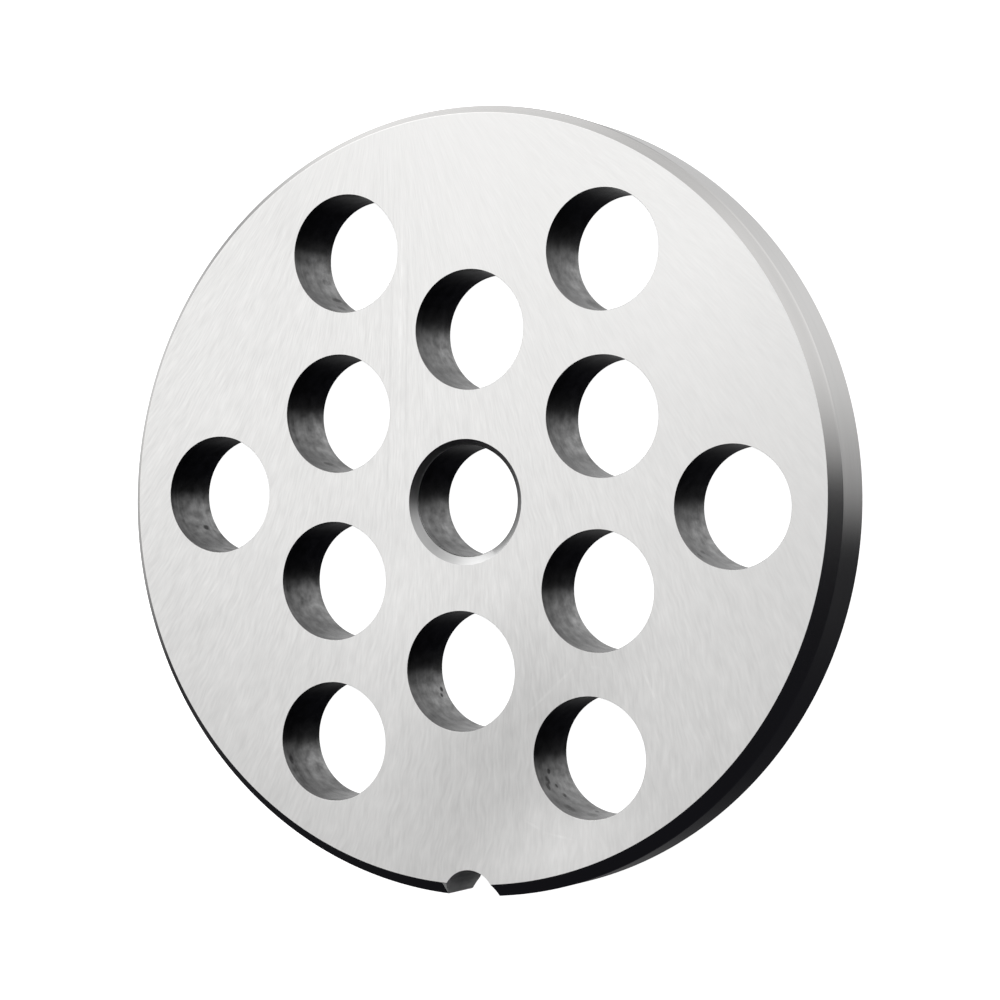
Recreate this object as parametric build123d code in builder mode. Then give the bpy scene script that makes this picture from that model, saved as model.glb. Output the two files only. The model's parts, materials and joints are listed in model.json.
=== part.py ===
from build123d import *
import os

# A perforated plate for a meat grinder, made from one steel disc. The knife sweeps over its
# front face, and the meat is pressed out through its holes.
# The plate lies on its rear face at Z = 0, with its front face up. The origin is on the axis
# of the centre bore, and the locating notch is on the -Y side. Sizes are in millimetres and
# angles in degrees, counted from +X towards +Y.

# The turned disc
outer_diameter = 99.0
thickness = 9.5
rim_chamfer = 1.25

# The centre bore, which runs on the stud of the feed screw
bore_diameter = 14.0
bore_front_chamfer = 0.9
bore_rear_chamfer = 0.3

# The grinding holes, in two rings that are turned against each other. The step goes from the
# circle of the inner ring's centres to that of the outer ring's.
hole_diameter = 15.1
holes_per_ring = 6
ring_step = 14.6
inner_ring_start = 30.0
outer_ring_start = 0.0

# The round-bottomed notch that drops over the key in the barrel, so that the plate can't turn
notch_radius = 3.6
notch_depth = 3.35
notch_angle = 272.2

# Places that follow from the sizes. The rings lie evenly on both sides of the middle of the
# land between the countersink and the rim, so the same steel is left inside and outside them.
outer_radius = outer_diameter / 2
bore_radius = bore_diameter / 2
hole_radius = hole_diameter / 2
land_middle_radius = (bore_radius + bore_front_chamfer + outer_radius) / 2
inner_ring_radius = land_middle_radius - ring_step / 2
outer_ring_radius = land_middle_radius + ring_step / 2
notch_centre_radius = outer_radius - notch_depth + notch_radius

with BuildPart() as grinder_plate:
    # The blank, with the same chamfer round the front and the rear of its rim
    with BuildSketch(Plane.XY):
        Circle(outer_radius)
    extrude(amount=thickness)
    rim_edges = grinder_plate.edges().filter_by(GeomType.CIRCLE)
    chamfer(rim_edges, length=rim_chamfer)

    # The bore, countersunk from the front and only deburred at the rear
    with BuildSketch(Plane.XY):
        Circle(bore_radius)
    extrude(amount=thickness, mode=Mode.SUBTRACT)
    front_face = grinder_plate.faces().sort_by(Axis.Z)[-1]
    chamfer(front_face.edges().sort_by(SortBy.RADIUS)[0], length=bore_front_chamfer)
    rear_face = grinder_plate.faces().sort_by(Axis.Z)[0]
    chamfer(rear_face.edges().sort_by(SortBy.RADIUS)[0], length=bore_rear_chamfer)

    # The grinding holes keep sharp edges, because the knife shears the meat against them
    with PolarLocations(inner_ring_radius, holes_per_ring, start_angle=inner_ring_start):
        Hole(hole_radius)
    with PolarLocations(outer_ring_radius, holes_per_ring, start_angle=outer_ring_start):
        Hole(hole_radius)

    # The notch, milled through the rim after it was chamfered
    with PolarLocations(notch_centre_radius, 1, start_angle=notch_angle):
        Hole(notch_radius)

grinder_plate.part.label = "grinder_plate"

os.makedirs("parts", exist_ok=True)
export_step(grinder_plate.part, "parts/grinder_plate.step")
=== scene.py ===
import json
from math import atan2, pi, radians

import bmesh
import bpy
from mathutils import Matrix, Vector

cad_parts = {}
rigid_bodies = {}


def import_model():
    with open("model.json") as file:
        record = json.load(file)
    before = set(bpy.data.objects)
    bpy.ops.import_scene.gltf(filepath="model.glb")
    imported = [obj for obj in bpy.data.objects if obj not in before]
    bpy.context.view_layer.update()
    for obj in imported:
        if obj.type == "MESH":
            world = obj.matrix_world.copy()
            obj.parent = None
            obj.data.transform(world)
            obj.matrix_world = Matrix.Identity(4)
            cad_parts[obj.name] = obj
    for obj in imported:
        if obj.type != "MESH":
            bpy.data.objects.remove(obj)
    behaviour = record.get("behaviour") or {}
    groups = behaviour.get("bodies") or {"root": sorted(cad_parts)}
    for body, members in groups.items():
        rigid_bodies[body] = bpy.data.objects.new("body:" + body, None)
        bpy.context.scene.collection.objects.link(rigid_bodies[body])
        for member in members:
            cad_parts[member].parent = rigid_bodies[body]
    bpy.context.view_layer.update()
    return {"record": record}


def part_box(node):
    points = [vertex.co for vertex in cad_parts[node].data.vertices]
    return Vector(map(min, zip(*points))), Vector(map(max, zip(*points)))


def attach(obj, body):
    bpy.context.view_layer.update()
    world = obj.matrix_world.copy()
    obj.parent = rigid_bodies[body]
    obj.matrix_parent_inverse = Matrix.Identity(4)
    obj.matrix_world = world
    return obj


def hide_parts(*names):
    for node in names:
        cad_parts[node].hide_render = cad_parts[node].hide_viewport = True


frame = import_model()

# A perforated plate for a meat grinder lies on a pale floor, with its ground front face up. It
# stands for the model's own plate, with rounder circles, broken edges and the finish of every
# surface. Lengths are in metres and angles in degrees, counted from +X towards +Y.
MM = 0.001

# What the model gives
rear_corner, front_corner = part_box("grinder_plate")
rear_height = rear_corner.z
front_height = front_corner.z
mounts = {mount["name"]: mount for mount in frame["record"]["mounts"]}
openings = frame["record"]["physics"]["openings"]
outer_radius = mounts["rim"]["dims"]["r_mm"] * MM
bore_radius = mounts["centre_bore"]["dims"]["r_mm"] * MM
hole_centres = {
    opening["name"]: (Vector(opening["box_m"][0]) + Vector(opening["box_m"][1])) / 2
    for opening in openings
}

# The turned rim
rim_chamfer = 1.25 * MM
front_chamfer_drift = (-0.17 * MM, 0.28 * MM)
rim_rounding = 0.12 * MM
face_edge_break = 0.03 * MM

# The bore and the holes
countersink_width = 0.9 * MM
countersink_depth = 0.7 * MM
countersink_drift = (0, -0.2 * MM)
bore_rear_chamfer = 0.3 * MM
bore_rounding = 0.15 * MM
hole_radius = 7.55 * MM
hole_edge_break = 0.03 * MM
notch_radius = 3.6 * MM
notch_depth = 3.35 * MM
notch_angle = 272.2

# How fine the circles are, and how far a cutter stands out of the plate
rim_sides = 360
hole_sides = 120
overrun = 1.0 * MM

# The floor clears the plate by a hair, so that they never share a plane
floor_half_width = 4.0
floor_gap = 0.02 * MM

# The grinding lines run out from a point beyond the plate's edge, and bend a little on their way
fan_centre = (-13.3 * MM, 63.4 * MM)
fan_reach = 72.0 * MM
fan_twist = 0.059

# Scratches on the front face, from end to end in millimetres, with half of their width. The light
# ones are fresh, and the dull ones are deep grinding lines that hold some dirt.
light_scratches = [
    ((9.0, -26.6), (16.2, -19.6), 0.22),
    ((17.6, -20.0), (20.0, -20.2), 0.25),
    ((9.3, -39.3), (12.8, -40.9), 0.2),
    ((12.2, -40.7), (16.8, -41.4), 0.2),
    ((-41.5, -19.4), (-34.5, -9.5), 0.2),
    ((24.5, 3.4), (27.1, -1.8), 0.2),
    ((24.5, -19.4), (27.1, -24.5), 0.2),
    ((-9.9, 41.0), (-9.6, -4.0), 0.22),
]
dull_scratches = [
    ((-11.1, 42.0), (-11.0, -7.0), 0.25),
    ((-12.8, 45.0), (-12.6, 16.0), 0.2),
    ((-14.1, 42.0), (-14.3, 18.0), 0.2),
    ((-8.9, 36.0), (-8.7, 6.0), 0.2),
]

# Soft clouds on the front face, where the steel is lighter or darker: the middle and the half size in
# millimetres, the lean in degrees, and how much lighter the steel is. The first is a painted dark reflection
# band across the lower half, and the second a painted light reflection along the lower edge.
face_patches_and_painted_reflections = [
    ((8.0, -28.0), (26.0, 15.0), 50, -0.15),
    ((15.0, -43.0), (16.0, 9.0), 15, 0.15),
    ((-5.0, -8.0), (55.0, 55.0), 0, 0.055),
    ((-28.0, 38.0), (30.0, 30.0), 0, -0.045),
    ((42.0, -8.0), (22.0, 22.0), 0, -0.025),
    ((30.0, 32.0), (22.0, 22.0), 0, 0.04),
    ((-10.0, -13.0), (10.0, 9.0), 0, 0.04),
]

# Dark pits and stains in the hole walls: the hole, the angle round its axis in degrees, and in
# millimetres the height and half of the mark's width and height
wall_marks = [
    ("outer_hole_300", 206, 7.0, 0.7, 0.7),
    ("outer_hole_300", 212, 7.6, 0.7, 0.6),
    ("outer_hole_300", 198, 5.9, 0.4, 0.6),
    ("outer_hole_300", 213, 5.3, 0.35, 0.4),
    ("outer_hole_300", 224, 4.8, 0.4, 0.6),
    ("outer_hole_300", 241, 6.9, 1.05, 1.1),
    ("outer_hole_300", 260, 5.1, 0.95, 1.3),
    ("outer_hole_300", 254, 2.3, 0.4, 0.5),
    ("outer_hole_60", 240, 2.6, 1.9, 2.4),
    ("inner_hole_150", 238, 4.7, 0.6, 1.3),
    ("inner_hole_270", 203, 1.2, 0.4, 0.5),
    ("inner_hole_270", 209, 1.8, 0.35, 0.4),
    ("outer_hole_120", 226, 2.3, 0.5, 1.4),
    ("outer_hole_120", 241, 3.7, 0.8, 1.1),
    ("outer_hole_180", 216, 2.8, 0.5, 0.9),
    ("outer_hole_180", 254, 3.5, 0.6, 1.4),
    ("outer_hole_0", 233, 8.3, 0.6, 0.6),
    ("outer_hole_0", 228, 6.3, 0.4, 0.7),
    ("outer_hole_240", 202, 8.1, 0.8, 0.6),
]


def solid_of_revolution(section, centre, sides):
    """A closed solid: its section, as radii and heights, is spun round an upright axis."""
    bm = bmesh.new()
    corners = [bm.verts.new((radius, 0, height)) for radius, height in section]
    profile = [bm.edges.new(pair) for pair in zip(corners, corners[1:])]
    bmesh.ops.spin(
        bm, geom=corners + profile, cent=(0, 0, 0), axis=(0, 0, 1),
        angle=2 * pi, steps=sides, use_merge=True,
    )
    bmesh.ops.edgeloop_fill(bm, edges=[edge for edge in bm.edges if edge.is_boundary])
    bmesh.ops.recalc_face_normals(bm, faces=bm.faces)
    bmesh.ops.translate(bm, verts=bm.verts, vec=(centre[0], centre[1], 0))
    return bm


def round_ring(bm, radius, height, size, steps):
    """Rounds off the edge that runs round the plate at that radius and height."""
    close = 0.001 * MM
    ring = [
        edge for edge in bm.edges
        if all(abs(v.co.xy.length - radius) < close and abs(v.co.z - height) < close for v in edge.verts)
    ]
    bmesh.ops.bevel(
        bm, geom=ring, offset=size, offset_type="OFFSET", segments=steps,
        profile=0.5, affect="EDGES", material=-1,
    )


def set_off_centre(bm, drift, upper, lower, lift):
    """Moves a chamfer's upper end sideways, and its foot up or down, so that the slope stays."""
    for v in bm.verts:
        if v.co.z > upper:
            v.co.xy += Vector(drift)
        elif v.co.z > lower:
            v.co.z += lift * Vector(drift).dot(v.co.xy.normalized())


def placed(name, bm, collection):
    """Puts a finished shape into the scene as an object of its own."""
    mesh = bpy.data.meshes.new(name)
    bm.to_mesh(mesh)
    bm.free()
    thing = bpy.data.objects.new(name, mesh)
    collection.objects.link(thing)
    return thing


def turned_blank():
    """The disc before it is drilled, with a chamfer round both faces."""
    face_radius = outer_radius - rim_chamfer
    front_chamfer_foot = front_height - rim_chamfer
    rear_chamfer_foot = rear_height + rim_chamfer
    section = [
        (face_radius, rear_height),
        (outer_radius, rear_chamfer_foot),
        (outer_radius, front_chamfer_foot),
        (face_radius, front_height),
    ]
    bm = solid_of_revolution(section, (0, 0), rim_sides)
    for height in (rear_height, front_height):
        round_ring(bm, face_radius, height, face_edge_break, 2)
    for height in (rear_chamfer_foot, front_chamfer_foot):
        round_ring(bm, outer_radius, height, rim_rounding, 4)
    # The front chamfer is a little wider on one side, because the plate sat off centre for it
    foot_start = front_chamfer_foot - 2 * rim_rounding
    set_off_centre(bm, front_chamfer_drift, front_height - rim_chamfer / 2, foot_start, 1)
    return bm


def bore_cutter():
    """What the drill and the countersink of the bore take out, with a soft turn between them."""
    foot = front_height - countersink_depth
    slope = countersink_width / countersink_depth
    section = [
        (bore_radius + bore_rear_chamfer + overrun, rear_height - overrun),
        (bore_radius, rear_height + bore_rear_chamfer),
        (bore_radius, foot),
        (bore_radius + countersink_width + slope * overrun, front_height + overrun),
    ]
    bm = solid_of_revolution(section, (0, 0), hole_sides)
    round_ring(bm, bore_radius, foot, bore_rounding, 4)
    set_off_centre(bm, countersink_drift, front_height, foot - 2 * bore_rounding, -1 / slope)
    return bm


def hole_cutter(centre):
    """What a drill takes out of the plate, with a broken edge at both faces."""
    section = [
        (hole_radius + hole_edge_break + overrun, rear_height - overrun),
        (hole_radius, rear_height + hole_edge_break),
        (hole_radius, front_height - hole_edge_break),
        (hole_radius + hole_edge_break + overrun, front_height + overrun),
    ]
    return solid_of_revolution(section, centre, hole_sides)


def notch_centre():
    """The middle of the notch's round bottom, which lies about on the rim."""
    reach = outer_radius - notch_depth + notch_radius
    return Matrix.Rotation(radians(notch_angle), 2) @ Vector((reach, 0))


def notch_cutter():
    """What an end mill takes out of the rim."""
    section = [(notch_radius, rear_height - overrun), (notch_radius, front_height + overrun)]
    return solid_of_revolution(section, notch_centre(), hole_sides)


def cut(blank, cutters):
    """Takes the cutters out of the blank and leaves the plate's finished mesh on it."""
    boolean = blank.modifiers.new("cut", "BOOLEAN")
    boolean.operation = "DIFFERENCE"
    boolean.solver = "EXACT"
    boolean.operand_type = "COLLECTION"
    boolean.collection = cutters
    depsgraph = bpy.context.evaluated_depsgraph_get()
    mesh = bpy.data.meshes.new_from_object(blank.evaluated_get(depsgraph))
    blank.modifiers.clear()
    blank.data = mesh
    for cutter in list(cutters.objects):
        bpy.data.objects.remove(cutter)
    bpy.data.collections.remove(cutters)


def grinder_plate():
    """The whole plate: turned, bored, drilled and notched."""
    collection = bpy.context.scene.collection
    cutters = bpy.data.collections.new("cutters")
    collection.children.link(cutters)
    plate = placed("ground_grinder_plate", turned_blank(), collection)
    placed("bore", bore_cutter(), cutters)
    for centre in hole_centres.values():
        placed("hole", hole_cutter(centre), cutters)
    placed("notch", notch_cutter(), cutters)
    cut(plate, cutters)
    return plate


def feed(tree, socket, value):
    """Gives a socket its value, or links another node's output to it."""
    if isinstance(value, bpy.types.NodeSocket):
        tree.links.new(value, socket)
    else:
        socket.default_value = value


def reckon(tree, operation, *values):
    """A sum on numbers, such as MULTIPLY or ARCTAN2."""
    node = tree.nodes.new("ShaderNodeMath")
    node.operation = operation
    for socket, value in zip(node.inputs, values):
        feed(tree, socket, value)
    return node.outputs[0]


def added(tree, start, *parts):
    """The start plus every part times its weight."""
    total = start
    for value, weight in parts:
        total = reckon(tree, "MULTIPLY_ADD", value, weight, total)
    return total


def spread(tree, value, low, high, new_low, new_high):
    """Maps the range from low to high onto a new one, and holds the value inside it."""
    node = tree.nodes.new("ShaderNodeMapRange")
    feed(tree, node.inputs["Value"], value)
    for name, number in (("From Min", low), ("From Max", high), ("To Min", new_low), ("To Max", new_high)):
        node.inputs[name].default_value = number
    return node.outputs["Result"]


def vector(tree, x, y, z):
    """Three numbers joined to one vector."""
    node = tree.nodes.new("ShaderNodeCombineXYZ")
    for socket, value in zip(node.inputs, (x, y, z)):
        feed(tree, socket, value)
    return node.outputs[0]


def grain(tree, x, y, z, detail):
    """Soft noise about zero, from -0.5 to 0.5, at a place that is already in its own scale."""
    node = tree.nodes.new("ShaderNodeTexNoise")
    node.inputs["Scale"].default_value = 1.0
    node.inputs["Detail"].default_value = detail
    tree.links.new(vector(tree, x, y, z), node.inputs["Vector"])
    return reckon(tree, "SUBTRACT", node.outputs["Fac"], 0.5)


def scaled_grain(tree, place, per_metre, detail):
    """Soft noise on the plate, with so many steps to a metre along each axis."""
    scaled = [reckon(tree, "MULTIPLY", value, steps) for value, steps in zip(place, per_metre)]
    return grain(tree, *scaled, detail)


def patch(tree, middle, half_size, lean):
    """A soft oval patch: 1 in its middle, and 0 at its edge and beyond."""
    coordinates = tree.nodes.new("ShaderNodeTexCoord")
    mapping = tree.nodes.new("ShaderNodeMapping")
    mapping.vector_type = "TEXTURE"
    mapping.inputs["Location"].default_value = middle
    mapping.inputs["Rotation"].default_value = (0, 0, lean)
    mapping.inputs["Scale"].default_value = half_size
    fade = tree.nodes.new("ShaderNodeTexGradient")
    fade.gradient_type = "SPHERICAL"
    tree.links.new(coordinates.outputs["Object"], mapping.inputs["Vector"])
    tree.links.new(mapping.outputs["Vector"], fade.inputs["Vector"])
    return fade.outputs["Fac"]


def scratches(tree, marks):
    """The sum of some scratches on the front face, each one tapered towards its ends."""
    total = 0.0
    for start, end, half_width in marks:
        first = Vector(start) * MM
        last = Vector(end) * MM
        run = last - first
        middle = (first + last) / 2
        half_size = (run.length / 2, half_width * MM, 1.0 * MM)
        mark = patch(tree, (*middle, front_height), half_size, atan2(run.y, run.x))
        total = reckon(tree, "ADD", reckon(tree, "POWER", mark, 0.5), total)
    return total


def steel(name, roughness):
    """A bare metal material, with its node tree, its shader and the place on the plate."""
    material = bpy.data.materials.new(name)
    material.use_nodes = True
    tree = material.node_tree
    shader = tree.nodes["Principled BSDF"]
    shader.inputs["Metallic"].default_value = 1.0
    shader.inputs["Roughness"].default_value = roughness
    coordinates = tree.nodes.new("ShaderNodeTexCoord")
    place = tree.nodes.new("ShaderNodeSeparateXYZ")
    tree.links.new(coordinates.outputs["Object"], place.inputs[0])
    return material, tree, shader, place.outputs


def colour(tree, shader, brightness, tint):
    """Gives the metal its colour: a tint, made as bright as it is at each place."""
    node = tree.nodes.new("ShaderNodeVectorMath")
    node.operation = "SCALE"
    node.inputs[0].default_value = tint
    feed(tree, node.inputs["Scale"], brightness)
    tree.links.new(node.outputs["Vector"], shader.inputs["Base Color"])


def roughen(tree, shader, height, depth):
    """Gives a surface its relief, which is depth high for a height of 1."""
    bump = tree.nodes.new("ShaderNodeBump")
    bump.inputs["Strength"].default_value = 1.0
    bump.inputs["Distance"].default_value = depth
    tree.links.new(height, bump.inputs["Height"])
    tree.links.new(bump.outputs["Normal"], shader.inputs["Normal"])


def ground_face_steel():
    """The faces, surface ground: fine broken lines that fan out from beyond one edge."""
    material, tree, shader, (x, y, z) = steel("ground_face_steel", roughness=0.3)
    sideways = reckon(tree, "SUBTRACT", x, fan_centre[0])
    downwards = reckon(tree, "SUBTRACT", fan_centre[1], y)
    angle = reckon(tree, "ARCTAN2", sideways, downwards)
    reach = reckon(
        tree, "SQRT",
        reckon(tree, "ADD", reckon(tree, "POWER", sideways, 2.0), reckon(tree, "POWER", downwards, 2.0)),
    )
    bend = reckon(tree, "POWER", reckon(tree, "DIVIDE", reach, fan_reach), 2.0)
    across = reckon(tree, "MULTIPLY", added(tree, angle, (bend, fan_twist)), fan_reach)
    wavy = added(tree, across, (scaled_grain(tree, (x, y, z), (250.0, 250.0, 250.0), 1.0), 0.8 * MM))

    def lines(width, length, seed, detail):
        """Broken lines of that width and length, with a pattern of their own for each seed."""
        return grain(
            tree,
            reckon(tree, "DIVIDE", wavy, width),
            reckon(tree, "DIVIDE", reach, length),
            seed,
            detail,
        )

    # The lines are faint where the last pass of the wheel ran out, at the +X +Y side
    passed = spread(tree, reckon(tree, "ADD", x, y), 5.0 * MM, 45.0 * MM, 1.0, 0.45)
    fine = reckon(tree, "MULTIPLY", lines(0.3 * MM, 2.6 * MM, seed=1.0, detail=2.0), passed)
    broad = reckon(tree, "MULTIPLY", lines(1.3 * MM, 9.0 * MM, seed=5.0, detail=1.0), passed)
    broken = added(tree, 1.0, (scaled_grain(tree, (x, y, z), (700.0, 700.0, 700.0), 2.0), 4.0))
    light = reckon(tree, "MULTIPLY", scratches(tree, light_scratches), broken)
    dull = scratches(tree, dull_scratches)
    brightness = added(tree, 0.765, (fine, 0.21), (broad, 0.1), (light, 0.04), (dull, -0.05))
    # Soft patches of lighter or darker steel; the first two are a painted dark reflection and a painted
    # light reflection
    for middle, half_size, lean, lighter in face_patches_and_painted_reflections:
        place = (*(Vector(middle) * MM), front_height)
        cloud = patch(tree, place, (*(Vector(half_size) * MM), 1.0 * MM), radians(lean))
        brightness = added(tree, brightness, (cloud, lighter))
    colour(tree, shader, brightness, (1.006, 1.0, 0.989))
    roughen(tree, shader, added(tree, fine, (broad, 1.0)), 0.002 * MM)
    return material


def turned_rim_steel():
    """The rim and its chamfers, turned fine on a lathe: faint lines run round them."""
    material, tree, shader, (x, y, z) = steel("turned_rim_steel", roughness=0.22)
    turning = scaled_grain(tree, (x, y, z), (30.0, 30.0, 1800.0), 1.0)
    # A painted highlight: the edge between the rim and its front chamfer is made lighter all round
    drift = Vector(front_chamfer_drift) / outer_radius
    above_edge = added(tree, rim_chamfer - front_height, (z, 1.0), (x, -drift.x), (y, -drift.y))
    painted_edge_glint = spread(tree, reckon(tree, "ABSOLUTE", above_edge), 0.0, 0.2 * MM, 1.0, 0.0)
    colour(tree, shader, added(tree, 0.74, (turning, 0.08), (painted_edge_glint, 0.12)), (1.012, 1.0, 0.985))
    roughen(tree, shader, turning, 0.001 * MM)
    return material


def countersunk_steel():
    """The countersink, cut with a coarser tool than the rim, with painted shade that darkens its -X side."""
    material, tree, shader, (x, y, z) = steel("countersunk_steel", roughness=0.33)
    turning = scaled_grain(tree, (x, y, z), (60.0, 60.0, 2500.0), 1.0)
    # Painted shade: the countersink is darker towards -X and lighter towards +X
    painted_side_shade = spread(tree, x, -0.2 * bore_radius, bore_radius, 0.45, 0.92)
    colour(tree, shader, added(tree, painted_side_shade, (turning, 0.1)), (1.0, 1.0, 0.995))
    roughen(tree, shader, turning, 0.0004 * MM)
    return material


def milled_notch_steel():
    """The notch, milled: the cutter's marks stand upright in it."""
    material, tree, shader, (x, y, z) = steel("milled_notch_steel", roughness=0.9)
    marks = scaled_grain(tree, (x, y, z), (2200.0, 2200.0, 60.0), 1.0)
    colour(tree, shader, added(tree, 0.85, (marks, 0.15)), (1.0, 1.0, 0.995))
    roughen(tree, shader, marks, 0.004 * MM)
    return material


def drilled_wall_steel():
    """The walls of the holes: dull and blotched, scored round near the lip, with pits and stains, and
    painted shade that darkens them towards the front face.
    """
    material, tree, shader, (x, y, z) = steel("drilled_wall_steel", roughness=0.27)
    blotches = scaled_grain(tree, (x, y, z), (800.0, 800.0, 600.0), 3.0)
    ragged = scaled_grain(tree, (x, y, z), (2000.0, 2000.0, 2000.0), 2.0)
    scoring = scaled_grain(tree, (x, y, z), (100.0, 100.0, 2200.0), 2.0)
    near_lip = spread(tree, z, front_height - 3.5 * MM, front_height, 0.25, 1.0)
    scored = reckon(tree, "MULTIPLY", scoring, near_lip)
    marks = 0.0
    for hole, angle, height, half_width, half_height in wall_marks:
        place = hole_centres[hole].xy + Matrix.Rotation(radians(angle), 2) @ Vector((hole_radius, 0))
        half_size = (half_width * MM, half_width * MM, half_height * MM)
        mark = patch(tree, (*place, height * MM), half_size, 0.0)
        marks = reckon(tree, "ADD", mark, marks)
    marks = reckon(tree, "MULTIPLY", marks, added(tree, 1.0, (ragged, 2.5)))
    clean = spread(tree, marks, 0.0, 0.5, 1.0, 0.08)
    # Painted shade: the walls are lighter towards the rear opening and darker towards the front lip
    depth = spread(tree, z, rear_height, front_height - 1.0 * MM, 1.65, 0.6)
    brightness = reckon(tree, "MULTIPLY", added(tree, 0.175, (blotches, 0.42), (scored, 0.3)), depth)
    colour(tree, shader, reckon(tree, "MULTIPLY", brightness, clean), (1.0, 1.0, 1.0))
    roughen(tree, shader, added(tree, scored, (blotches, 0.5), (clean, 2.0)), 0.01 * MM)
    return material


def dress(plate):
    """Gives every face the finish of the tool that made it."""
    finishes = [
        ground_face_steel(), turned_rim_steel(), countersunk_steel(),
        milled_notch_steel(), drilled_wall_steel(),
    ]
    ground, turned, countersunk, milled, drilled = range(len(finishes))
    plate.data.materials.clear()
    for finish in finishes:
        plate.data.materials.append(finish)
    flat = 0.99
    upright = 0.1
    crease = radians(35)
    inside_rim = outer_radius - rim_chamfer - face_edge_break
    round_bore = bore_radius + countersink_width + overrun
    notch = notch_centre()
    for face in plate.data.polygons:
        tilt = abs(face.normal.z)
        reach = face.center.xy.length
        if tilt > flat:
            face.material_index = ground
        elif (face.center.xy - notch).length < notch_radius + face_edge_break:
            face.material_index = milled
        elif reach > inside_rim:
            face.material_index = turned
        elif tilt > upright:
            face.material_index = countersunk if reach < round_bore else turned
        else:
            face.material_index = drilled
    plate.data.shade_smooth()
    plate.data.set_sharp_from_angle(angle=crease)
    evened = plate.modifiers.new("even_shading", "WEIGHTED_NORMAL")
    evened.keep_sharp = True


def pale_floor():
    """A plain white floor, as bright as paper in a studio."""
    bm = bmesh.new()
    bmesh.ops.create_grid(bm, x_segments=1, y_segments=1, size=floor_half_width)
    bmesh.ops.translate(bm, verts=bm.verts, vec=(0, 0, rear_height - floor_gap))
    floor = placed("floor", bm, bpy.context.scene.collection)
    material = bpy.data.materials.new("floor_paper")
    material.use_nodes = True
    shader = material.node_tree.nodes["Principled BSDF"]
    shader.inputs["Base Color"].default_value = (0.8, 0.8, 0.8, 1)
    shader.inputs["Roughness"].default_value = 0.9
    shader.inputs["Emission Color"].default_value = (1, 1, 1, 1)
    shader.inputs["Emission Strength"].default_value = 1.0
    floor.data.materials.append(material)
    floor.visible_diffuse = False
    floor.visible_glossy = False


def studio_light():
    """Soft light from the +Y side that falls off to a dark -Y side, and one softbox high up."""
    world = bpy.data.worlds.new("studio")
    bpy.context.scene.world = world
    world.use_nodes = True
    tree = world.node_tree
    background = tree.nodes["Background"]
    coordinates = tree.nodes.new("ShaderNodeTexCoord")
    direction = coordinates.outputs["Generated"]
    split = tree.nodes.new("ShaderNodeSeparateXYZ")
    tree.links.new(direction, split.inputs[0])
    x, y, z = split.outputs

    # How bright the walls of the studio are from the dark side to the lit one
    above = reckon(tree, "POWER", reckon(tree, "MAXIMUM", z, 0.0), 2.0)
    below = reckon(tree, "POWER", reckon(tree, "MINIMUM", z, 0.0), 2.0)
    over_right = reckon(tree, "MULTIPLY", reckon(tree, "MAXIMUM", x, 0.0), reckon(tree, "POWER", above, 2.0))
    side = added(tree, y, (x, -0.163), (above, 0.341), (below, 0.072), (over_right, -0.8))
    stops = [
        (-0.6, 0.007), (-0.3, 0.008), (-0.15, 0.026), (-0.05, 0.012), (0.05, 0.335), (0.15, 0.515),
        (0.25, 0.719), (0.4, 0.853), (0.6, 0.829), (0.8, 0.789), (1.0, 0.402), (1.3, 1.2),
    ]
    darkest = -1.0
    lightest = 1.5
    bluish = 0.002
    ramp = tree.nodes.new("ShaderNodeValToRGB")
    elements = ramp.color_ramp.elements
    while len(elements) < len(stops):
        elements.new(0.5)
    for element, (place, strength) in zip(elements, stops):
        element.position = (place - darkest) / (lightest - darkest)
        element.color = (strength, strength, strength + bluish, 1)
    tree.links.new(spread(tree, side, darkest, lightest, 0.0, 1.0), ramp.inputs["Fac"])

    # The softbox, two dark cards and a faint light card: the way to each one, how small it is, and
    # how bright. Each one fades evenly all round.
    cards = [
        ((-0.560, 0.685, 0.466), 6.26, 1.65),
        ((-0.838, 0.380, -0.392), 69.6, -0.6),
        ((-0.267, 0.687, -0.675), 14.2, -0.6),
        ((-0.4, -0.2, -0.9), 40.0, 0.1),
    ]
    glow = 0.0
    for way, smallness, strength in cards:
        facing = tree.nodes.new("ShaderNodeVectorMath")
        facing.operation = "DOT_PRODUCT"
        facing.inputs[1].default_value = Vector(way).normalized()
        tree.links.new(direction, facing.inputs[0])
        nearness = added(tree, -smallness, (facing.outputs["Value"], smallness))
        glow = reckon(tree, "MULTIPLY_ADD", reckon(tree, "EXPONENT", nearness), strength, glow)
    walls = tree.nodes.new("ShaderNodeVectorMath")
    walls.operation = "ADD"
    tree.links.new(ramp.outputs["Color"], walls.inputs[0])
    tree.links.new(vector(tree, glow, glow, glow), walls.inputs[1])
    lit = tree.nodes.new("ShaderNodeVectorMath")
    lit.operation = "MAXIMUM"
    tree.links.new(walls.outputs["Vector"], lit.inputs[0])

    # The camera sees plain white beyond the floor
    path = tree.nodes.new("ShaderNodeLightPath")
    seen = tree.nodes.new("ShaderNodeMix")
    seen.data_type = "RGBA"
    tree.links.new(path.outputs["Is Camera Ray"], seen.inputs["Factor"])
    tree.links.new(lit.outputs["Vector"], seen.inputs["A"])
    seen.inputs["B"].default_value = (1, 1, 1, 1)
    tree.links.new(seen.outputs["Result"], background.inputs["Color"])


def photo_camera():
    """A camera that looks down on the plate from its right."""
    camera = bpy.data.objects.new("camera", bpy.data.cameras.new("camera"))
    bpy.context.scene.collection.objects.link(camera)
    camera.data.lens = 105.56
    camera.data.sensor_width = 36.0
    camera.data.clip_start = 0.01
    camera.location = (167.94 * MM, -0.5 * MM, 335.5 * MM)
    camera.rotation_euler = (radians(0.801), radians(26.554), radians(1.563))
    bpy.context.scene.camera = camera
    bpy.context.scene.view_settings.view_transform = "Standard"


plate = grinder_plate()
dress(plate)
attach(plate, "root")
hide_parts("grinder_plate")
pale_floor()
studio_light()
photo_camera()
